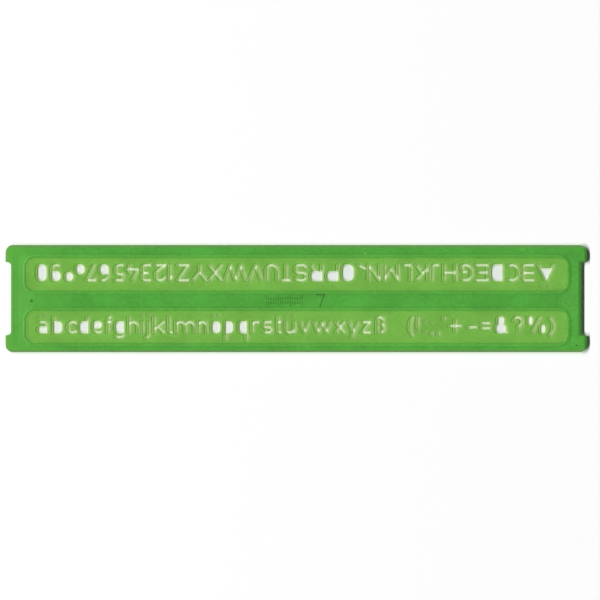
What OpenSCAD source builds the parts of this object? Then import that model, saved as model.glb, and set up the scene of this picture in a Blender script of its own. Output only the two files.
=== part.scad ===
// Lettering stencil: a frame plate with two long windows, and in each window a thin strip
// with letter-shaped openings. The upper strip holds capitals and figures, the lower one
// small letters and signs. The upper row stands on its head, so that either long edge can
// run along a straightedge while its own row reads the right way up.
// The origin is under the middle of the plate, with +X along its length and +Z up.

/* [Plate] */
// Length over the four ears
plate_len = 244; // [238:1:280]
// Width over the two long guide edges
plate_w = 45; // [44:0.5:60]
// Thickness at the rails
plate_t = 2; // [2:0.1:3]
// Radius of the outer corners
corner_r = 3.1; // [1:0.1:5]

/* [End notches] */
// Width of the shallow notch in each end
notch_w = 30.8; // [20:0.2:34]
// Depth of each end notch
notch_depth = 2.3; // [1:0.1:2.8]
// Radius in the inner corners of a notch
notch_r = 1.7; // [0.5:0.1:2.2]

/* [Rails and rib] */
// Width of the raised rail round the rim
rail_w = 3.5; // [3:0.1:3.6]
// Drop from the rails to the panel, on each face
panel_drop = 0.2; // [0.1:0.05:0.3]
// Corner radius of the panel
panel_r = 1.5; // [0.5:0.1:3]
// Plate left at each end of the rib along the middle bar
rib_end = 12.5; // [11:0.5:32]
// Width of that rib
rib_w = 5.6; // [3:0.1:5.6]

/* [Windows] */
// Plate left at each end of the windows
window_end = 8.6; // [7.6:0.1:11]
// Width of the upper window
upper_window_w = 13.4; // [12.6:0.1:13.6]
// Width of the lower window
lower_window_w = 13.2; // [12.6:0.1:13.6]
// Corner radius of the windows
window_r = 3.6; // [2:0.1:5]
// Width of the bar above the upper window
top_bar_w = 5.6; // [5:0.1:6]
// Width of the bar below the lower window
bottom_bar_w = 4; // [3.5:0.1:4.5]
// Width of the bevel round the rim of a window
bevel_w = 0.7; // [0.3:0.1:1]

/* [Lettering strips] */
// Thickness of a strip
strip_t = 1.05; // [0.8:0.05:1.2]
// Thickness of the lip that a strip seats against
lip_t = 0.3; // [0.2:0.05:0.5]
// Width of the seat round each window
seat_w = 1.3; // [0.8:0.1:1.5]
// Gap between a strip's edge and the wall of its seat
seat_gap = 0.05; // [0.02:0.01:0.1]
// Thickness of the glue between a strip and its lip
glue_t = 0.04; // [0.02:0.01:0.1]

/* [Lettering] */
// Height of the capitals that a pen writes
letter_h = 7; // [6.6:0.1:7.2]
// Height of the small letters without their stems
small_h = 5; // [4.6:0.1:5.2]
// Line width of the pen
pen_w = 0.7; // [0.5:0.05:0.8]
// Extra width of a slot over the pen line
pen_gap = 0.25; // [0.15:0.05:0.3]
// From the upper guide edge to the base line of its row
upper_base = 8.5; // [8:0.1:9]
// From the lower guide edge to the base line of its row
lower_base = 8.3; // [7.9:0.1:8.6]

/* [Marks] */
// Depth of the marks sunk into the rib
mark_depth = 0.2; // [0.1:0.05:0.3]
// Width of a mark's line
mark_line = 0.4; // [0.3:0.05:0.6]
// Height of the size figure
figure_h = 5; // [3:0.1:5]
// Spacing of the ticks
tick_pitch = 1; // [0.8:0.1:1.2]
// Diameter of the moulding's gate mark at the left end
gate_d = 1.2; // [0.8:0.1:2]

/* [Hidden] */
$fn = 48;

// the plate's levels, from the face that lies on the paper
panel_low = panel_drop;
panel_top = plate_t - panel_drop;
lip_low = panel_top - lip_t;
strip_top = lip_low - glue_t;
strip_low = strip_top - strip_t;
panel_l = plate_len - 2 * rail_w;
panel_w = plate_w - 2 * rail_w;
rib_len = plate_len - 2 * rib_end;
window_len = plate_len - 2 * window_end;

// the windows' middles along Y
upper_window_y = plate_w / 2 - top_bar_w - upper_window_w / 2;
lower_window_y = bottom_bar_w + lower_window_w / 2 - plate_w / 2;
middle_bar_y = (upper_window_y - upper_window_w / 2 + lower_window_y + lower_window_w / 2) / 2;

// the pen's slot, and the letters measured on the slot's centre line
slot = pen_w + pen_gap;
cap = letter_h - pen_w;
small = small_h - pen_w;
// how far dots stand above the capitals and above the small letters, and stems hang below
dot_rise = 2.6;
small_dot_rise = 2.8;
tail_drop = 3.1;
// how far a cutter reaches past the face it leaves by
overshoot = 0.5;
// the largest corner radius of a wide opening, as a share of its smaller side
bowl_round = 0.47;
// a corner radius beyond any opening's own, so that the corners come out as round as they can
full_round = 3;
// how much wider a slot is at its round ends, where the pen turns
end_gap = 0.02;
// the window length that the rows are laid out for, and how far they spread in another one
row_len = 226.8;
spread = window_len / row_len;

// the marks' places on the rib, and how far the gate mark stands from the left end
figure_x = 8.9;
figure_w = 3;
ticks_x = -12.4;
tick_clear = 0.4;
tick_short = 1;
tick_long = 2;
tick_count = 16;
gate_from_end = 11;
gate_depth = 0.15;

frame_green = [0.31, 0.64, 0.24, 0.6];
strip_green = [0.44, 0.69, 0.28, 0.5];

// a rectangle about the origin with rounded corners
module rounded_rect(l, w, r) {
    polygon([
        [-l / 2, r - w / 2], [r - l / 2, -w / 2], [l / 2 - r, -w / 2], [l / 2, r - w / 2],
        [l / 2, w / 2 - r], [l / 2 - r, w / 2], [r - l / 2, w / 2], [-l / 2, w / 2 - r]
    ]);
    for (x = [r - l / 2, l / 2 - r])
        for (y = [r - w / 2, w / 2 - r])
            translate([x, y]) circle(r = r);
}

// a straight slot with round ends, from p to q
module bar(p, q, w = slot) {
    run = q - p;
    translate(p) rotate(atan2(run[1], run[0])) translate([0, -w / 2]) square([norm(run), w]);
    for (end = [p, q]) translate(end) circle(d = w + end_gap);
}

// a curved slot with round ends about c, from angle a to angle b
module arc(c, r, a, b, w = slot) {
    reach = 2 * (r + w);
    step = (b - a) / 4;
    translate(c) {
        intersection() {
            difference() {
                circle(r = r + w / 2);
                circle(r = r - w / 2);
            }
            polygon(concat([[0, 0]], [for (i = [0:4]) reach * [cos(a + i * step), sin(a + i * step)]]));
        }
        for (t = [a, b]) translate(r * [cos(t), sin(t)]) circle(d = w + end_gap);
    }
}

// a chain of straight slots through the points
module chain(points) {
    for (i = [0:len(points) - 2]) bar(points[i], points[i + 1]);
}

// a wide opening round the centre-line box from p to q, with left and right corner radii
module bowl(p, q, rl, rr) {
    x0 = p[0] - slot / 2;
    x1 = q[0] + slot / 2;
    y0 = p[1] - slot / 2;
    y1 = q[1] + slot / 2;
    most = floor(100 * bowl_round * min(x1 - x0, y1 - y0)) / 100;
    a = min(rl, most);
    b = min(rr, most);
    polygon([
        [x0 + a, y0], [x1 - b, y0], [x1, y0 + b], [x1, y1 - b],
        [x1 - b, y1], [x0 + a, y1], [x0, y1 - a], [x0, y0 + a]
    ]);
    for (y = [y0 + a, y1 - a]) translate([x0 + a, y]) circle(r = a);
    for (y = [y0 + b, y1 - b]) translate([x1 - b, y]) circle(r = b);
}

module dot(p) {
    translate(p) circle(d = slot);
}

module two_dots(x, y, apart) {
    dot([x - apart / 2, y]);
    dot([x + apart / 2, y]);
}

// the capitals, w wide and cap high between the centre lines of their slots
module capital(c, w) {
    if (c == "A") {
        bridge = 1.7;
        inset = bridge / cap * w / 2;
        chain([[0, 0], [w / 2, cap], [w, 0]]);
        bar([inset, bridge], [w - inset, bridge]);
        polygon([[inset, bridge], [w - inset, bridge], [w / 2, cap]]);
        two_dots(w / 2, cap + dot_rise, 2.5);
    } else if (c == "B") {
        waist = 0.52 * cap;
        upper = (cap - waist) / 2;
        lower = waist / 2;
        for (y = [waist, cap]) bar([0, y], [w - upper, y]);
        bar([0, 0], [w - lower, 0]);
        arc([w - upper, cap - upper], upper, -90, 90);
        arc([w - lower, lower], lower, -90, 90);
    } else if (c == "C" || c == "G") {
        r = 2.5;
        bar([0, r], [0, cap - r]);
        arc([r, cap - r], r, 50, 180);
        arc([r, r], r, 180, c == "C" ? 310 : 320);
        if (c == "G") {
            chain([[0.55 * w, 0.45 * cap], [w, 0.45 * cap], [w, 0.9]]);
        }
    } else if (c == "D") {
        bowl([0, 0], [w, cap], slot / 2, 2.5);
    } else if (c == "E") {
        chain([[w, cap], [0, cap], [0, 0], [w, 0]]);
        bar([0, 0.49 * cap], [0.8 * w, 0.49 * cap]);
    } else if (c == "H") {
        for (x = [0, w]) bar([x, 0], [x, cap]);
        bar([0, cap / 2], [w, cap / 2]);
    } else if (c == "J") {
        r = 1.7;
        bar([w, r], [w, cap]);
        arc([w - r, r], r, 270, 360);
        bar([0, 0], [w - r, 0]);
    } else if (c == "K") {
        bar([0, 0], [0, cap]);
        bar([0, 0.2 * cap], [w, cap]);
        bar([0.45 * w, 0.56 * cap], [w, 0]);
    } else if (c == "L") {
        chain([[0, cap], [0, 0], [w, 0]]);
    } else if (c == "M") {
        chain([[0, 0], [0, cap], [w / 2, 0.22 * cap], [w, cap], [w, 0]]);
    } else if (c == "N") {
        chain([[0, 0], [0, cap], [w, 0], [w, cap]]);
    } else if (c == "tail") {
        bar([0, 1.4], [w, 0]);
    } else if (c == "O") {
        bowl([0, 0], [w, cap], full_round, full_round);
    } else if (c == "P" || c == "R") {
        waist = 0.467 * cap;
        bar([0, 0], [0, cap]);
        bowl([0, waist], [w, cap], slot / 2, full_round);
        if (c == "R") bar([w / 2, waist], [w, 0]);
    } else if (c == "S") {
        r = cap / 4;
        arc([w - r, cap - r], r, 20, 90);
        bar([r, cap], [w - r, cap]);
        arc([r, cap - r], r, 90, 270);
        bar([r, cap / 2], [w - r, cap / 2]);
        arc([w - r, r], r, -90, 90);
        bar([r, 0], [w - r, 0]);
        arc([r, r], r, 200, 270);
    } else if (c == "T") {
        bar([0, cap], [w, cap]);
        bar([w / 2, 0], [w / 2, cap]);
    } else if (c == "U") {
        r = w / 2;
        for (x = [0, w]) bar([x, r], [x, cap]);
        arc([r, r], r, 180, 360);
    } else if (c == "V") {
        chain([[0, cap], [w / 2, 0], [w, cap]]);
    } else if (c == "W") {
        chain([[0, cap], [w / 4, 0], [w / 2, cap], [0.75 * w, 0], [w, cap]]);
    } else if (c == "X") {
        bar([0, 0], [w, cap]);
        bar([0, cap], [w, 0]);
    } else if (c == "Y") {
        chain([[0, cap], [w / 2, 0.45 * cap], [w, cap]]);
        bar([w / 2, 0], [w / 2, 0.45 * cap]);
    } else if (c == "Z") {
        chain([[0, cap], [w, cap], [0, 0], [w, 0]]);
    }
}

// the figures, as high as the capitals; an eight is written with two loops side by side
module figure(c, w) {
    if (c == "1") {
        chain([[w, 0], [w, cap], [0, 0.72 * cap]]);
    } else if (c == "2") {
        r = w / 2;
        arc([r, cap - r], r, -35, 165);
        chain([[r * (1 + cos(35)), cap - r - r * sin(35)], [0, 0], [w, 0]]);
    } else if (c == "3") {
        waist = 0.52 * cap;
        upper = (cap - waist) / 2;
        lower = waist / 2;
        bar([0.3, cap], [w - upper, cap]);
        bar([w / 3, waist], [w - upper, waist]);
        bar([0.2, 0], [w - lower, 0]);
        arc([w - upper, cap - upper], upper, -90, 90);
        arc([w - lower, lower], lower, -90, 90);
    } else if (c == "4") {
        shelf = 0.27 * cap;
        chain([[0.5 * w, cap], [0, shelf], [w, shelf]]);
        bar([0.75 * w, 0], [0.75 * w, 0.5 * cap]);
    } else if (c == "5") {
        r = 0.3 * cap;
        chain([[w, cap], [0.2, cap], [0, 2 * r]]);
        bar([0, 2 * r], [w - r, 2 * r]);
        arc([w - r, r], r, -90, 90);
        bar([0, 0], [w - r, 0]);
    } else if (c == "6") {
        r = 2.1;
        bowl([0, 0], [w, 0.56 * cap], full_round, full_round);
        bar([0, r], [0, cap - r]);
        arc([r, cap - r], r, 65, 180);
    } else if (c == "7") {
        chain([[0, 0.87 * cap], [0, cap], [w, cap], [0.1 * w, 0]]);
    } else if (c == "lower loop") {
        bowl([0, 0], [w, 0.54 * cap], full_round, full_round);
    } else if (c == "upper loop") {
        bowl([0, 0.52 * cap], [w, cap], full_round, full_round);
    } else if (c == "9") {
        r = 2.1;
        bowl([0, 0.44 * cap], [w, cap], full_round, full_round);
        bar([w, r], [w, cap - r]);
        arc([w - r, r], r, 245, 360);
    } else if (c == "0") {
        bowl([0, 0], [w, cap], full_round, full_round);
    }
}

// the small letters, w wide and small high without their stems
module small_letter(c, w) {
    if (c == "a") {
        r = 1.2;
        bowl([0, 0], [w, 0.5 * small], 1.6, slot / 2);
        bar([w, 0], [w, small - r]);
        arc([w - r, small - r], r, 0, 90);
        bar([0.4, small], [w - r, small]);
        two_dots(w / 2, small + small_dot_rise, 2.1);
    } else if (c == "b") {
        bar([0, 0], [0, cap]);
        bowl([0, 0], [w, small], slot / 2, 2.2);
    } else if (c == "c") {
        r = small / 2;
        arc([r, r], r, 50, 310);
    } else if (c == "d") {
        bar([w, 0], [w, cap]);
        bowl([0, 0], [w, small], 2.2, slot / 2);
    } else if (c == "e") {
        r = small / 2;
        bowl([0, 0.47 * small], [w, small], 2, 2);
        arc([r, r], r, 160, 300);
    } else if (c == "f") {
        r = 1.2;
        stem = 0.4;
        bar([stem, 0], [stem, cap - r]);
        arc([stem + r, cap - r], r, 90, 180);
        bar([0, small], [w, small]);
    } else if (c == "g") {
        r = 2.9;
        bowl([0, 0], [w, small], 2.2, slot / 2);
        arc([w / 2, r - 2], r, 238, 305);
    } else if (c == "h" || c == "n") {
        r = w / 2;
        bar([0, 0], [0, c == "h" ? cap : small]);
        arc([r, small - r], r, 0, 180);
        bar([w, 0], [w, small - r]);
    } else if (c == "i") {
        bar([0, 0], [0, small]);
        dot([0, small + small_dot_rise]);
    } else if (c == "j") {
        r = 1;
        bar([w, -1.2], [w, small]);
        arc([w - r, -1.2], r, 270, 360);
        dot([w, small + small_dot_rise]);
    } else if (c == "k") {
        bar([0, 0], [0, cap]);
        bar([0, 0.25 * small], [w, small]);
        bar([0.45 * w, 0.55 * small], [w, 0]);
    } else if (c == "l") {
        r = 1;
        bar([0, r], [0, cap]);
        arc([r, r], r, 180, 270);
        bar([r, 0], [w, 0]);
    } else if (c == "m") {
        r = w / 4;
        bar([0, 0], [0, small]);
        for (x = [r, 3 * r]) {
            arc([x, small - r], r, 0, 180);
            bar([x + r, 0], [x + r, small - r]);
        }
    } else if (c == "o") {
        bowl([0, 0], [w, small], full_round, full_round);
        two_dots(w / 2, small + small_dot_rise, 2.3);
    } else if (c == "p") {
        bar([0, -tail_drop], [0, small]);
        bowl([0, 0], [w, small], slot / 2, 2.2);
    } else if (c == "q") {
        bar([w, -tail_drop], [w, small]);
        bowl([0, 0], [w, small], 2.2, slot / 2);
    } else if (c == "r") {
        r = w;
        bar([0, 0], [0, small]);
        arc([r, small - r], r, 70, 180);
    } else if (c == "s") {
        r = small / 4;
        bar([r, small], [w - 0.3, small]);
        arc([r, small - r], r, 90, 270);
        bar([r, small / 2], [w - r, small / 2]);
        arc([w - r, r], r, -90, 90);
        bar([0.3, 0], [w - r, 0]);
    } else if (c == "t") {
        r = 1;
        stem = 0.3;
        bar([stem, r], [stem, cap]);
        arc([stem + r, r], r, 180, 280);
        bar([0, small], [w, small]);
    } else if (c == "u") {
        r = w / 2;
        bar([0, r], [0, small]);
        bar([w, 0], [w, small]);
        arc([r, r], r, 180, 360);
        two_dots(w / 2, small + small_dot_rise, 2.3);
    } else if (c == "v") {
        chain([[0, small], [w / 2, 0], [w, small]]);
    } else if (c == "w") {
        chain([[0, small], [w / 4, 0], [w / 2, small], [0.75 * w, 0], [w, small]]);
    } else if (c == "x") {
        bar([0, 0], [w, small]);
        bar([0, small], [w, 0]);
    } else if (c == "y") {
        bar([0, small], [w / 2, 0]);
        bar([w, small], [0.25 * w, -2]);
    } else if (c == "z") {
        chain([[0, small], [w, small], [0, 0], [w, 0]]);
    } else if (c == "sz") {
        r = 1.35;
        bar([0, 0], [0, cap - r]);
        arc([r, cap - r], r, 0, 180);
        arc([w - 1.3, 0.55 * cap - 1], 1.2, 20, 90);
        arc([w - 1.6, 1.6], 1.6, -90, 60);
    }
}

// the signs
module sign(c, w) {
    if (c == "(" || c == ")") {
        r = 5.6;
        side = c == "(" ? 1 : -1;
        edge = c == "(" ? 0 : w;
        middle = c == "(" ? 180 : 0;
        arc([edge + side * r, small / 2 + 0.3], r, middle - 42, middle + 42);
    } else if (c == "!") {
        bar([0, 2], [0, cap]);
        dot([0, 0]);
    } else if (c == ":") {
        dot([0, 0]);
        dot([0, small]);
    } else if (c == ";") {
        bar([0, 0], [0, -1]);
        dot([0, small]);
    } else if (c == ",") {
        bar([0, 0], [0, -1]);
    } else if (c == "'") {
        bar([0, cap - 0.9], [0, cap]);
    } else if (c == "+") {
        middle = 0.63 * small;
        bar([0, middle], [w, middle]);
        bar([w / 2, middle - w / 2], [w / 2, middle + w / 2]);
    } else if (c == "-") {
        bar([0, small / 2], [w, small / 2]);
    } else if (c == "=") {
        for (y = [0.4 * small, 0.9 * small]) bar([0, y], [w, y]);
    } else if (c == "&") {
        bowl([0, 0], [w - 0.6, 0.5 * cap], full_round, full_round);
        bowl([0.8, 0.55 * cap], [w - 1.4, cap], full_round, full_round);
        bar([w - 1.2, 0.6], [w, 0]);
    } else if (c == "?") {
        r = w / 2;
        arc([r, cap - r], r, -40, 170);
        chain([[r * (1 + cos(40)), cap - r - r * sin(40)], [r, 0.35 * cap], [r, 0.3 * cap]]);
        dot([r, 0]);
    } else if (c == "%") {
        loop = 1.6;
        bowl([0, 0.55 * cap], [loop, cap], full_round, full_round);
        bar([1.8, 0], [w - 1.8, cap]);
        bowl([w - loop, 0], [w, 0.45 * cap], full_round, full_round);
    }
}

// each opening with its left edge from the plate's middle and its width, at the length row_len
upper_capitals = [
    ["A", -108.3, 7.2], ["B", -99.9, 5.6], ["C", -93.6, 5.2], ["D", -86.7, 5.3],
    ["E", -80.8, 6.1], ["G", -74.0, 4.9], ["H", -67.2, 5.8], ["J", -60.0, 3.7],
    ["K", -55.6, 5.7], ["L", -48.3, 3.8], ["M", -43.0, 6.7], ["N", -35.4, 5.7],
    ["tail", -29.3, 3.7], ["O", -24.2, 5.4], ["P", -17.8, 5.6], ["R", -11.1, 5.6],
    ["S", -4.6, 5.6], ["T", 2.3, 4.5], ["U", 7.6, 5.6], ["V", 14.1, 6.3],
    ["W", 20.9, 9.6], ["X", 31.0, 6.1], ["Y", 37.4, 6.6], ["Z", 45.0, 5.4]
];
upper_figures = [
    ["1", 51.8, 2.0], ["2", 54.6, 5.2], ["3", 60.8, 4.6], ["4", 66.1, 5.8],
    ["5", 72.5, 4.1], ["6", 78.7, 4.4], ["7", 84.1, 4.5], ["lower loop", 88.8, 4.2],
    ["upper loop", 93.7, 3.8], ["9", 98.9, 4.4], ["0", 104.8, 4.4]
];
lower_letters = [
    ["a", -108.9, 4.4], ["b", -102.5, 4.2], ["c", -96.5, 3.9], ["d", -91.6, 4.3],
    ["e", -85.8, 4.2], ["f", -80.2, 2.7], ["g", -76.5, 4.2], ["h", -71.0, 4.9],
    ["i", -65.2, 1.0], ["j", -63.7, 2.0], ["k", -60.4, 5.2], ["l", -54.1, 2.2],
    ["m", -51.1, 8.7], ["n", -41.7, 4.4], ["o", -36.0, 4.2], ["p", -30.4, 3.9],
    ["q", -24.6, 3.9], ["r", -19.2, 3.0], ["s", -14.4, 4.4], ["t", -8.7, 2.5],
    ["u", -5.1, 4.7], ["v", 1.1, 4.5], ["w", 6.8, 8.0], ["x", 16.1, 4.5],
    ["y", 21.6, 4.8], ["z", 27.1, 4.2], ["sz", 33.3, 4.0]
];
lower_signs = [
    ["(", 46.9, 2.2], ["!", 50.3, 1.0], [":", 53.3, 1.0], [";", 56.2, 1.0],
    [",", 59.0, 1.0], ["'", 61.4, 1.0], ["+", 63.8, 5.5], ["-", 71.6, 4.3],
    ["=", 77.1, 4.4], ["&", 83.2, 5.6], ["?", 90.7, 4.5], ["%", 96.7, 7.9],
    [")", 106.0, 2.2]
];

// where a glyph stands: its left centre line on the row's base line
module stand(entry) {
    translate([spread * entry[1] + slot / 2, 0]) children();
}

// how wide a glyph is between the centre lines of its outer slots
function between(entry) = spread * entry[2] - slot;

module upper_row() {
    translate([0, plate_w / 2 - upper_base]) rotate(180) {
        for (e = upper_capitals) stand(e) capital(e[0], between(e));
        for (e = upper_figures) stand(e) figure(e[0], between(e));
    }
}

module lower_row() {
    translate([0, lower_base - plate_w / 2]) {
        for (e = lower_letters) stand(e) small_letter(e[0], between(e));
        for (e = lower_signs) stand(e) sign(e[0], between(e));
    }
}

// a window right through the plate, its rim bevelled on the upper face
module window_cut(w) {
    rise = lip_t + overshoot;
    flare = bevel_w * rise / lip_t;
    turn_x = window_len / 2 - window_r;
    turn_y = w / 2 - window_r;
    translate([0, 0, -overshoot]) linear_extrude(lip_low + 2 * overshoot)
        rounded_rect(window_len, w, window_r);
    translate([0, 0, lip_low]) {
        for (x = [-turn_x, turn_x])
            for (y = [-turn_y, turn_y])
                translate([x, y]) cylinder(h = rise, r1 = window_r, r2 = window_r + flare);
        rotate([90, 0, 0]) linear_extrude(2 * turn_y, center = true)
            flared(window_len / 2, flare, rise);
        rotate([90, 0, 90]) linear_extrude(2 * turn_x, center = true)
            flared(w / 2, flare, rise);
    }
}

module flared(half, flare, rise) {
    polygon([[-half, 0], [half, 0], [half + flare, rise], [-half - flare, rise]]);
}

// the room below the lip that a strip seats in
module strip_seat(w) {
    grow = 2 * (seat_w + seat_gap);
    translate([0, 0, -overshoot]) linear_extrude(lip_low + overshoot)
        rounded_rect(window_len + grow, w + grow, window_r + seat_w + seat_gap);
}

module notch() {
    reach = notch_depth + 2 * notch_r;
    for (side = [-1, 1])
        translate([side * (plate_len / 2 - notch_depth + reach / 2), 0, -overshoot])
            linear_extrude(plate_t + 2 * overshoot) rounded_rect(reach, notch_w, notch_r);
}

// one row of plain ticks, each fifth one longer, growing away from the row's line
module tick_row(count, pitch, side) {
    for (i = [0:count - 1]) {
        long = i % 5 == 0 ? tick_long : tick_short;
        translate([i * pitch - mark_line / 2, side < 0 ? -long : 0]) square([mark_line, long]);
    }
}

// the marks on the rib: the lettering's size figure, and plain ticks beside it
module rib_marks() {
    translate([figure_x, middle_bar_y - figure_h / 2]) {
        bar([0, figure_h], [figure_w, figure_h], mark_line);
        bar([figure_w, figure_h], [0.4 * figure_w, 0], mark_line);
    }
    for (side = [-1, 1])
        translate([ticks_x, middle_bar_y + side * tick_clear]) tick_row(tick_count, tick_pitch, side);
}

module frame() {
    color(frame_green) difference() {
        union() {
            linear_extrude(plate_t) difference() {
                rounded_rect(plate_len, plate_w, corner_r);
                rounded_rect(panel_l, panel_w, panel_r);
            }
            translate([0, 0, panel_low]) linear_extrude(panel_top - panel_low)
                rounded_rect(panel_l + overshoot, panel_w + overshoot, panel_r);
            translate([0, middle_bar_y, 0]) linear_extrude(plate_t) square([rib_len, rib_w], center = true);
        }
        notch();
        translate([0, upper_window_y]) {
            window_cut(upper_window_w);
            strip_seat(upper_window_w);
        }
        translate([0, lower_window_y]) {
            window_cut(lower_window_w);
            strip_seat(lower_window_w);
        }
        translate([0, 0, plate_t - mark_depth]) linear_extrude(mark_depth + overshoot) rib_marks();
        translate([gate_from_end - plate_len / 2, middle_bar_y, panel_top - gate_depth])
            cylinder(h = plate_t, d = gate_d);
    }
}

module lettering_strip(y, w) {
    translate([0, 0, strip_low]) linear_extrude(strip_t) difference() {
        translate([0, y]) rounded_rect(window_len + 2 * seat_w, w + 2 * seat_w, window_r + seat_w);
        children();
    }
}

module upper_lettering_strip() {
    color(strip_green) lettering_strip(upper_window_y, upper_window_w) upper_row();
}

module lower_lettering_strip() {
    color(strip_green) lettering_strip(lower_window_y, lower_window_w) lower_row();
}

frame();
upper_lettering_strip();
lower_lettering_strip();
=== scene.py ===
"""Looks for the lettering stencil: clear green plastic on a plain white floor, seen from straight above."""

import math

import bpy
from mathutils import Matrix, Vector

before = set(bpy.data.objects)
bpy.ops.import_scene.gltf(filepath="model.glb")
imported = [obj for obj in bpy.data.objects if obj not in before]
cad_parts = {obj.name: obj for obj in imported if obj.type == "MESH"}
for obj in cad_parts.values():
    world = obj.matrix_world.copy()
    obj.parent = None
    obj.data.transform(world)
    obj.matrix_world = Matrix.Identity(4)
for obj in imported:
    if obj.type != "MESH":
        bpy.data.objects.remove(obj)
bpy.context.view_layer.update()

MM = 0.001

# the photograph: its width in metres, and the plate's middle in its pixels
PHOTO_SIDE = 600
PHOTO_SCALE = 0.42 * MM
PLATE_MIDDLE = (295.9, 298.6)

# sizes that the shading follows, in the frame's metres
PLATE_TOP = 2.0 * MM
MARK_DEPTH = 0.2 * MM
RIB_MIDDLE_Y = -0.9 * MM
RIB_HALF_WIDTH = 2.8 * MM
MARKS_LEFT = -14 * MM
MARKS_RIGHT = 13 * MM
# where the size figure begins on the rib; the ticks lie to its left
FIGURE_FROM = 6 * MM
# small spots on the plate: place along X, place along Y, radius
DARK_SPOTS = ((-111.0 * MM, -0.9 * MM, 0.75 * MM), (117.9 * MM, -19.7 * MM, 0.5 * MM))
PALE_SPOT = (29.2 * MM, 18.9 * MM, 0.5 * MM)
# the plate's edges, and the notches in its ends
HALF_LENGTH = 122.0 * MM
HALF_WIDTH = 22.5 * MM
NOTCH_AT = 119.7 * MM
NOTCH_HALF_WIDTH = 15.6 * MM
# how far the painted shade line reaches beside a slot's wall that faces the lamp, and the thin one opposite
FAR_LINE = 0.62 * MM
NEAR_LINE = 0.3 * MM
# how far the painted light reaches that stands in for light entering by a slot's near wall
GLOW = 2.0 * MM

# the windows' seats, where the strip lies under the frame's lip: middle along Y, half width
SEATS = ((10.2 * MM, 8.05 * MM), (-11.9 * MM, 7.95 * MM))
SEAT_HALF_LENGTH = 114.75 * MM
SEAT_CORNER = 4.95 * MM
# how far the lip reaches over the strip
LIP_REACH = 1.35 * MM
# the floor lies this much under the plate, so that the two never share a face
FLOOR_DROP = 0.05 * MM
# how near the plastic must be for the paper in an opening to get its painted shade
HOLE_REACH = 3.0 * MM

# the key lamp: low towards -X, long along Y like a scanner's tube
KEY_LEAN = 0.735
KEY_DISTANCE = 12.0
KEY_SIZE = (1.05, 13.5)
KEY_STRENGTH = 2075.0
WORLD_LEVEL = 0.03

FLOOR_SIDE = 6.0
CAMERA_HEIGHT = 0.5
# how far in from a guide edge its band of painted shade begins, and where it is full
EDGE_BAND = (1.25 * MM, 0.5 * MM)
# how far in from the end beside the lamp its band of painted light begins
LIT_BAND = 2.6 * MM
# along X, where the plate's painted light begins to turn it paler towards the lamp, and where it is palest
PALER_FROM = -92 * MM
PALEST_AT = -119 * MM
# how far out from the middle the paper can show through the strips
STRIPS_HALF_WIDTH = HALF_WIDTH - 3 * MM


class Nodes:
    """Short forms for building a material's nodes."""

    def __init__(self, tree):
        self.tree = tree

    def add(self, kind, **settings):
        node = self.tree.nodes.new(kind)
        for name, value in settings.items():
            setattr(node, name, value)
        return node

    def put(self, socket, value):
        if isinstance(value, bpy.types.NodeSocket):
            self.tree.links.new(value, socket)
        elif value is not None:
            socket.default_value = value

    def math(self, operation, a, b=None, clamp=False):
        node = self.add("ShaderNodeMath", operation=operation, use_clamp=clamp)
        self.put(node.inputs[0], a)
        self.put(node.inputs[1], b)
        return node.outputs[0]

    def map(self, value, from_min, from_max, to_min=0.0, to_max=1.0):
        node = self.add("ShaderNodeMapRange", clamp=True)
        for socket, v in zip(node.inputs, (value, from_min, from_max, to_min, to_max)):
            self.put(socket, v)
        return node.outputs[0]

    def mix(self, factor, a, b):
        node = self.add("ShaderNodeMix", data_type="RGBA")
        self.put(node.inputs[0], factor)
        self.put(node.inputs[6], a)
        self.put(node.inputs[7], b)
        return node.outputs[2]

    def noise(self, vector, scale, detail=2.0, roughness=0.5):
        node = self.add("ShaderNodeTexNoise")
        self.put(node.inputs["Vector"], vector)
        node.inputs["Scale"].default_value = scale
        node.inputs["Detail"].default_value = detail
        node.inputs["Roughness"].default_value = roughness
        return node.outputs["Fac"]

    def stretched(self, vector, scale):
        node = self.add("ShaderNodeMapping")
        self.put(node.inputs["Vector"], vector)
        node.inputs["Scale"].default_value = scale
        return node.outputs[0]


def rgb(r, g, b):
    return (r, g, b, 1.0)


def beside_wall(n, direction, reach, open_level=1.0):
    """1 where the plastic ends at once in this direction, and 0 where it goes on for the whole reach."""
    feel = n.add("ShaderNodeAmbientOcclusion", samples=8, only_local=True)
    feel.inputs["Distance"].default_value = reach
    axis = n.add("ShaderNodeCombineXYZ")
    for socket, value in zip(axis.inputs, direction):
        socket.default_value = value
    n.put(feel.inputs["Normal"], axis.outputs[0])
    return n.map(feel.outputs["AO"], open_level, 0.5)


def in_seat(n, x, y, middle, half_width, grow=0.0):
    """1 over the seat of one window, a rectangle with round corners, or over one that reaches further."""
    side = n.math("SUBTRACT", n.math("ABSOLUTE", x), SEAT_HALF_LENGTH - SEAT_CORNER)
    end = n.math("SUBTRACT", n.math("ABSOLUTE", n.math("SUBTRACT", y, middle)), half_width - SEAT_CORNER)
    side = n.math("MAXIMUM", side, 0.0)
    end = n.math("MAXIMUM", end, 0.0)
    reach = n.math("SQRT", n.math("ADD", n.math("MULTIPLY", side, side), n.math("MULTIPLY", end, end)))
    return n.math("LESS_THAN", reach, SEAT_CORNER + grow)


def in_seats(n, x, y, grow=0.0):
    return n.math("MAXIMUM", *(in_seat(n, x, y, *seat, grow) for seat in SEATS))


def round_spot(n, x, y, spot_x, spot_y, radius):
    """1 at the middle of a round spot, falling to 0 at its rim."""
    away_x = n.math("SUBTRACT", x, spot_x)
    away_y = n.math("SUBTRACT", y, spot_y)
    squared = n.math("ADD", n.math("MULTIPLY", away_x, away_x), n.math("MULTIPLY", away_y, away_y))
    return n.map(n.math("SQRT", squared), radius, 0.5 * radius)


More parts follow.
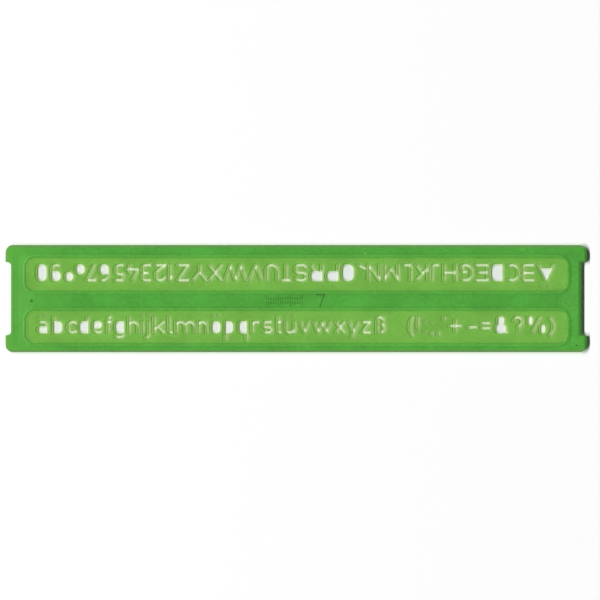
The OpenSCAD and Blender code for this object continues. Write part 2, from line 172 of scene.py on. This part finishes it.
def uneven_sheet(n, place):
    """Uneven colour, as in pressed sheet: broad clouds, fine mottling and drawn-out streaks."""
    clouds = n.noise(n.stretched(place, (1, 1.6, 1)), 60.0, 3.0, 0.55)
    mottle = n.noise(place, 900.0, 4.0, 0.65)
    drawn = n.noise(n.stretched(place, (0.25, 1.5, 1)), 1400.0, 2.0, 0.5)
    total = n.math("ADD", n.math("MULTIPLY", clouds, 0.35),
                   n.math("ADD", n.math("MULTIPLY", mottle, 0.45), n.math("MULTIPLY", drawn, 0.2)))
    return n.map(total, 0.41, 0.59), mottle


def shades(colour, factor):
    return tuple(min(1.0, factor * c) for c in colour[:3]) + (1.0,)


class Plastic:
    """Clear green plastic. Light crosses it and takes its colour, and a share of it shows the
    plastic's own surface. Its upright walls turn most light back."""

    def __init__(self, name, body, tint, solid_share, wall_share, wall_tint, depth_colour, density):
        self.material = bpy.data.materials.new(name)
        self.material.use_nodes = True
        tree = self.material.node_tree
        tree.nodes.clear()
        self.n = n = Nodes(tree)
        self.place = n.add("ShaderNodeTexCoord").outputs["Object"]
        geometry = n.add("ShaderNodeNewGeometry")
        at = n.add("ShaderNodeSeparateXYZ")
        n.put(at.inputs[0], self.place)
        self.x, self.y, self.z = at.outputs
        face = n.add("ShaderNodeSeparateXYZ")
        n.put(face.inputs[0], geometry.outputs["True Normal"])
        self.face_x, self.face_y, self.face_z = face.outputs
        self.inner = geometry.outputs["Backfacing"]
        self.outer = n.math("SUBTRACT", 1.0, self.inner)
        self.wall = n.math("MULTIPLY", n.map(n.math("ABSOLUTE", self.face_z), 0.8, 0.3), self.outer)
        self.upper = n.math("MULTIPLY", n.map(self.face_z, 0.3, 0.8), self.outer)

        self.uneven, self.mottle = uneven_sheet(n, self.place)
        self.through = n.mix(self.uneven, shades(tint, 0.89), shades(tint, 1.05))
        self.through = n.mix(self.wall, self.through, wall_tint)
        self.body = n.mix(self.uneven, shades(body, 0.85), shades(body, 1.1))
        self.body = n.mix(self.wall, self.body, shades(body, 0.6))
        self.share = n.math("ADD", solid_share, n.math("MULTIPLY", self.wall, wall_share), clamp=True)
        self.depth_colour = depth_colour
        self.density = density

    def blend(self, mask, through, body, share=None):
        n = self.n
        self.through = n.mix(mask, self.through, through)
        self.body = n.mix(mask, self.body, body)
        if share is not None:
            self.share = n.math("ADD", n.math("MULTIPLY", self.share, n.math("SUBTRACT", 1.0, mask)),
                                n.math("MULTIPLY", mask, share))

    def finish(self):
        n = self.n
        see = n.add("ShaderNodeBsdfTransparent")
        n.put(see.inputs[0], n.mix(self.inner, self.through, rgb(1, 1, 1)))
        skin = n.add("ShaderNodeBsdfPrincipled")
        n.put(skin.inputs["Base Color"], self.body)
        skin.inputs["IOR"].default_value = 1.49
        n.put(skin.inputs["Roughness"], n.map(self.mottle, 0.35, 0.7, 0.12, 0.3))
        bump = n.add("ShaderNodeBump")
        bump.inputs["Strength"].default_value = 0.25
        bump.inputs["Distance"].default_value = 0.04 * MM
        n.put(bump.inputs["Height"], self.uneven)
        n.put(skin.inputs["Normal"], bump.outputs[0])
        blend = n.add("ShaderNodeMixShader")
        n.put(blend.inputs[0], n.math("MULTIPLY", self.share, self.outer))
        n.put(blend.inputs[1], see.outputs[0])
        n.put(blend.inputs[2], skin.outputs[0])
        inside = n.add("ShaderNodeVolumeAbsorption")
        inside.inputs["Color"].default_value = self.depth_colour
        inside.inputs["Density"].default_value = self.density
        out = n.add("ShaderNodeOutputMaterial")
        n.put(out.inputs["Surface"], blend.outputs[0])
        n.put(out.inputs["Volume"], inside.outputs[0])
        return self.material


def frame_plastic():
    body = rgb(0.09, 0.42, 0.03)
    tint = rgb(0.452, 0.716, 0.410)
    p = Plastic("frame_green", body, tint, 0.25, 0.65, shades(tint, 0.5), rgb(0.25, 0.85, 0.0), 200.0)
    n = p.n
    # the lip over a strip is thin, and the strip gives most of the colour there
    lip = n.math("MULTIPLY", in_seats(n, p.x, p.y, -0.05 * MM), n.math("SUBTRACT", 1.0, p.wall))
    p.blend(lip, rgb(0.80, 0.96, 0.94), body, 0.15)
    # the glue fills the gap at a seat's wall, so light crosses it
    p.blend(n.math("MULTIPLY", in_seats(n, p.x, p.y, 0.1 * MM), p.wall), rgb(1, 1, 1), body, 0.0)
    # painted light: the end beside the lamp is painted a little paler for a long way
    off_the_lip = n.math("SUBTRACT", 0.5, n.math("MULTIPLY", lip, 0.5))
    p.blend(n.math("MULTIPLY", n.map(p.x, PALER_FROM, PALEST_AT), off_the_lip),
            rgb(0.54, 0.77, 0.44), rgb(0.14, 0.50, 0.04))
    # the windows' rims: painted shade where they face away from the lamp, painted light where they face it
    slope = n.math("MULTIPLY", n.map(p.face_z, 0.99, 0.95), n.map(p.face_z, 0.3, 0.8))
    slope = n.math("MULTIPLY", slope, p.outer)
    away = n.math("MULTIPLY", slope, n.map(p.face_x, 0.05, 0.35))
    p.blend(n.math("MULTIPLY", away, 0.5), rgb(0.60, 0.75, 0.60), shades(body, 0.6))
    facing = n.math("MULTIPLY", slope, n.map(p.face_x, -0.05, -0.35))
    p.blend(n.math("MULTIPLY", facing, 0.6), rgb(1, 1, 1), shades(body, 1.3))
    # the guide edges' own walls pass most of the light
    guide = n.math("GREATER_THAN", n.math("ABSOLUTE", p.y), HALF_WIDTH - 0.05 * MM)
    p.blend(n.math("MULTIPLY", guide, p.wall), rgb(0.72, 0.90, 0.55), body, 0.35)
    # the outer edges: painted shade, greyer along both guide edges, and painted light, paler at the end beside
    # the lamp
    along = n.map(n.math("ABSOLUTE", p.y), *(HALF_WIDTH - inset for inset in EDGE_BAND))
    along = n.math("MULTIPLY", along, p.upper)
    p.blend(n.math("MULTIPLY", along, 0.95), rgb(0.56, 0.58, 0.50), rgb(0.17, 0.23, 0.10), 0.45)
    lit_end = n.math("MULTIPLY", n.map(p.x, LIT_BAND - HALF_LENGTH, -HALF_LENGTH), p.upper)
    p.blend(lit_end, rgb(0.60, 0.72, 0.40), rgb(0.22, 0.38, 0.07))
    # painted shade: the top faces are darker close to the far end and to the notches' ends, away from the lamp
    far_end_shade = n.map(p.x, HALF_LENGTH - 1.1 * MM, HALF_LENGTH - 0.2 * MM)
    beside_notch = n.math("LESS_THAN", n.math("ABSOLUTE", p.y), NOTCH_HALF_WIDTH)
    notch_end = n.math("MULTIPLY", n.map(p.x, NOTCH_AT - 1.2 * MM, NOTCH_AT - 0.2 * MM), beside_notch)
    far_end_shade = n.math("MULTIPLY", n.math("MAXIMUM", far_end_shade, notch_end), p.upper)
    p.blend(far_end_shade, rgb(0.24, 0.36, 0.20), rgb(0.03, 0.11, 0.01))
    # the far end's own wall is as green as the rest, but passes next to nothing, so its shadow is deep
    far_wall = n.math("MULTIPLY", n.map(p.face_x, 0.6, 0.9), n.math("GREATER_THAN", p.x, NOTCH_AT - 0.3 * MM))
    p.blend(n.math("MULTIPLY", far_wall, p.wall), rgb(0.10, 0.22, 0.06), body, 0.98)
    # the marks' sunk faces, coloured dark
    sunk = n.math("MULTIPLY", n.math("LESS_THAN", p.z, PLATE_TOP - 0.25 * MARK_DEPTH),
                  n.math("GREATER_THAN", p.z, PLATE_TOP - 1.5 * MARK_DEPTH))
    beside = n.math("LESS_THAN", n.math("ABSOLUTE", n.math("SUBTRACT", p.y, RIB_MIDDLE_Y)),
                    RIB_HALF_WIDTH - 0.05 * MM)
    marked = n.math("MULTIPLY", n.math("GREATER_THAN", p.x, MARKS_LEFT),
                    n.math("LESS_THAN", p.x, MARKS_RIGHT))
    dark_marks = n.math("MULTIPLY", n.math("MULTIPLY", sunk, beside), marked)
    in_figure = n.math("GREATER_THAN", p.x, FIGURE_FROM)
    dark_marks = n.math("MULTIPLY", dark_marks, n.map(in_figure, 0, 1, 0.45, 0.8))
    p.blend(dark_marks, rgb(0.05, 0.12, 0.04), rgb(0.012, 0.045, 0.01), 0.8)
    # the moulding's gate mark and a dark speck in the plastic, and a pale chip on the upper rail
    dark = n.math("MAXIMUM", *(round_spot(n, p.x, p.y, *spot) for spot in DARK_SPOTS))
    p.blend(n.math("MULTIPLY", dark, p.upper), rgb(0.16, 0.34, 0.10), rgb(0.03, 0.11, 0.02), 0.7)
    pale = n.math("MULTIPLY", round_spot(n, p.x, p.y, *PALE_SPOT), p.upper)
    p.blend(pale, rgb(0.8, 0.9, 0.7), rgb(0.28, 0.6, 0.18), 0.5)
    return p.finish()


def strip_plastic():
    body = rgb(0.19, 0.48, 0.075)
    clear = rgb(0.99, 0.99, 0.96)
    p = Plastic("strip_green", body, clear, 0.2, 0.30, rgb(0.62, 0.80, 0.38), rgb(0.445, 0.784, 0.072), 1140.0)
    n = p.n
    # under the lip nothing of the strip's own edges shows
    shown = in_seats(n, p.x, p.y, -LIP_REACH)
    outline = n.math("SUBTRACT", 1.0, in_seats(n, p.x, p.y, -0.2 * MM))
    p.blend(n.math("MULTIPLY", outline, p.wall), rgb(1, 1, 1), body, 0.0)
    level = n.math("MULTIPLY", n.map(n.math("ABSOLUTE", p.face_z), 0.3, 0.8), p.outer)
    # painted light: the plastic beyond a slot's near wall is painted paler, standing in for light that comes
    # in by that wall
    glow = n.math("MULTIPLY", beside_wall(n, (-1, 0, 0), GLOW, 0.818), n.math("MULTIPLY", p.upper, shown))
    p.blend(n.math("MULTIPLY", glow, 0.9), clear, rgb(0.45, 0.52, 0.25), 0.3)
    # painted shade: a dark line where the plastic ends towards +X, and a thin one where it ends towards -X
    far_shade_line = n.math("MULTIPLY", beside_wall(n, (1, 0, 0), FAR_LINE), n.math("MULTIPLY", level, shown))
    p.blend(n.math("MULTIPLY", far_shade_line, 0.75), rgb(0.22, 0.34, 0.10), shades(body, 0.45))
    near_shade_line = n.math("MULTIPLY", beside_wall(n, (-1, 0, 0), NEAR_LINE), n.math("MULTIPLY", p.upper, shown))
    p.blend(n.math("MULTIPLY", near_shade_line, 0.4), rgb(0.5, 0.58, 0.42), shades(body, 0.8))
    return p.finish()


def dress(node, material):
    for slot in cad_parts[node].material_slots:
        slot.material = material


dress("frame", frame_plastic())
strip_material = strip_plastic()
dress("upper_lettering_strip", strip_material)
dress("lower_lettering_strip", strip_material)

# the floor
bpy.ops.mesh.primitive_plane_add(size=FLOOR_SIDE, location=(0, 0, -FLOOR_DROP))
floor = bpy.context.object
floor.name = "floor"
white = bpy.data.materials.new("floor_white")
white.use_nodes = True
paint = white.node_tree.nodes["Principled BSDF"]
ground = Nodes(white.node_tree)
# painted shade: the paper is a little grey where it shows through an opening, with the plastic close around it
closed_in = ground.add("ShaderNodeAmbientOcclusion", samples=8)
closed_in.inputs["Distance"].default_value = HOLE_REACH
spot = ground.add("ShaderNodeSeparateXYZ")
ground.put(spot.inputs[0], ground.add("ShaderNodeTexCoord").outputs["Object"])
under = ground.math("MULTIPLY",
                    ground.math("LESS_THAN", ground.math("ABSOLUTE", spot.outputs[0]), SEAT_HALF_LENGTH),
                    ground.math("LESS_THAN", ground.math("ABSOLUTE", spot.outputs[1]), STRIPS_HALF_WIDTH))
hole_shade = ground.math("MULTIPLY", ground.map(closed_in.outputs["AO"], 0.05, 0.3), under)
# painted light: in a narrow slot the paper is painted a pale green, standing in for light from the plastic's
# walls
narrow = ground.map(closed_in.outputs["AO"], 0.6, 0.35)
grey = ground.mix(narrow, rgb(0.75, 0.79, 0.76), rgb(0.84, 0.98, 0.58))
ground.put(paint.inputs["Base Color"], ground.mix(hole_shade, rgb(0.98, 0.98, 0.98), grey))
paint.inputs["Roughness"].default_value = 0.9
paint.inputs["Specular IOR Level"].default_value = 0.1
floor.data.materials.append(white)

# light
lamp = bpy.data.lights.new("key", "AREA")
lamp.shape = "RECTANGLE"
lamp.size, lamp.size_y = KEY_SIZE
lamp.energy = KEY_STRENGTH
key = bpy.data.objects.new("key", lamp)
bpy.context.scene.collection.objects.link(key)
towards = Vector((-KEY_LEAN, 0, 1)).normalized()
key.location = towards * KEY_DISTANCE
key.rotation_euler = (0, -math.atan(KEY_LEAN), 0)

# the world is white to the eye and in reflections, and lights the stencil only a little
world = bpy.data.worlds.new("studio")
world.use_nodes = True
sky = Nodes(world.node_tree)
path = sky.add("ShaderNodeLightPath").outputs
mirrored = sky.math("MAXIMUM", path["Is Glossy Ray"], path["Is Transmission Ray"])
seen = sky.math("MAXIMUM", path["Is Camera Ray"], mirrored)
air = world.node_tree.nodes["Background"]
air.inputs["Color"].default_value = rgb(1, 1, 1)
sky.put(air.inputs["Strength"], sky.map(seen, 0.0, 1.0, WORLD_LEVEL, 1.0))
scene = bpy.context.scene
scene.world = world
scene.view_settings.view_transform = "Standard"

# the camera looks straight down, as the scanner did
eye = bpy.data.cameras.new("camera")
eye.type = "ORTHO"
eye.ortho_scale = PHOTO_SIDE * PHOTO_SCALE
camera = bpy.data.objects.new("camera", eye)
scene.collection.objects.link(camera)
camera.location = ((PHOTO_SIDE / 2 - PLATE_MIDDLE[0]) * PHOTO_SCALE,
                   (PLATE_MIDDLE[1] - PHOTO_SIDE / 2) * PHOTO_SCALE, CAMERA_HEIGHT)
scene.camera = camera
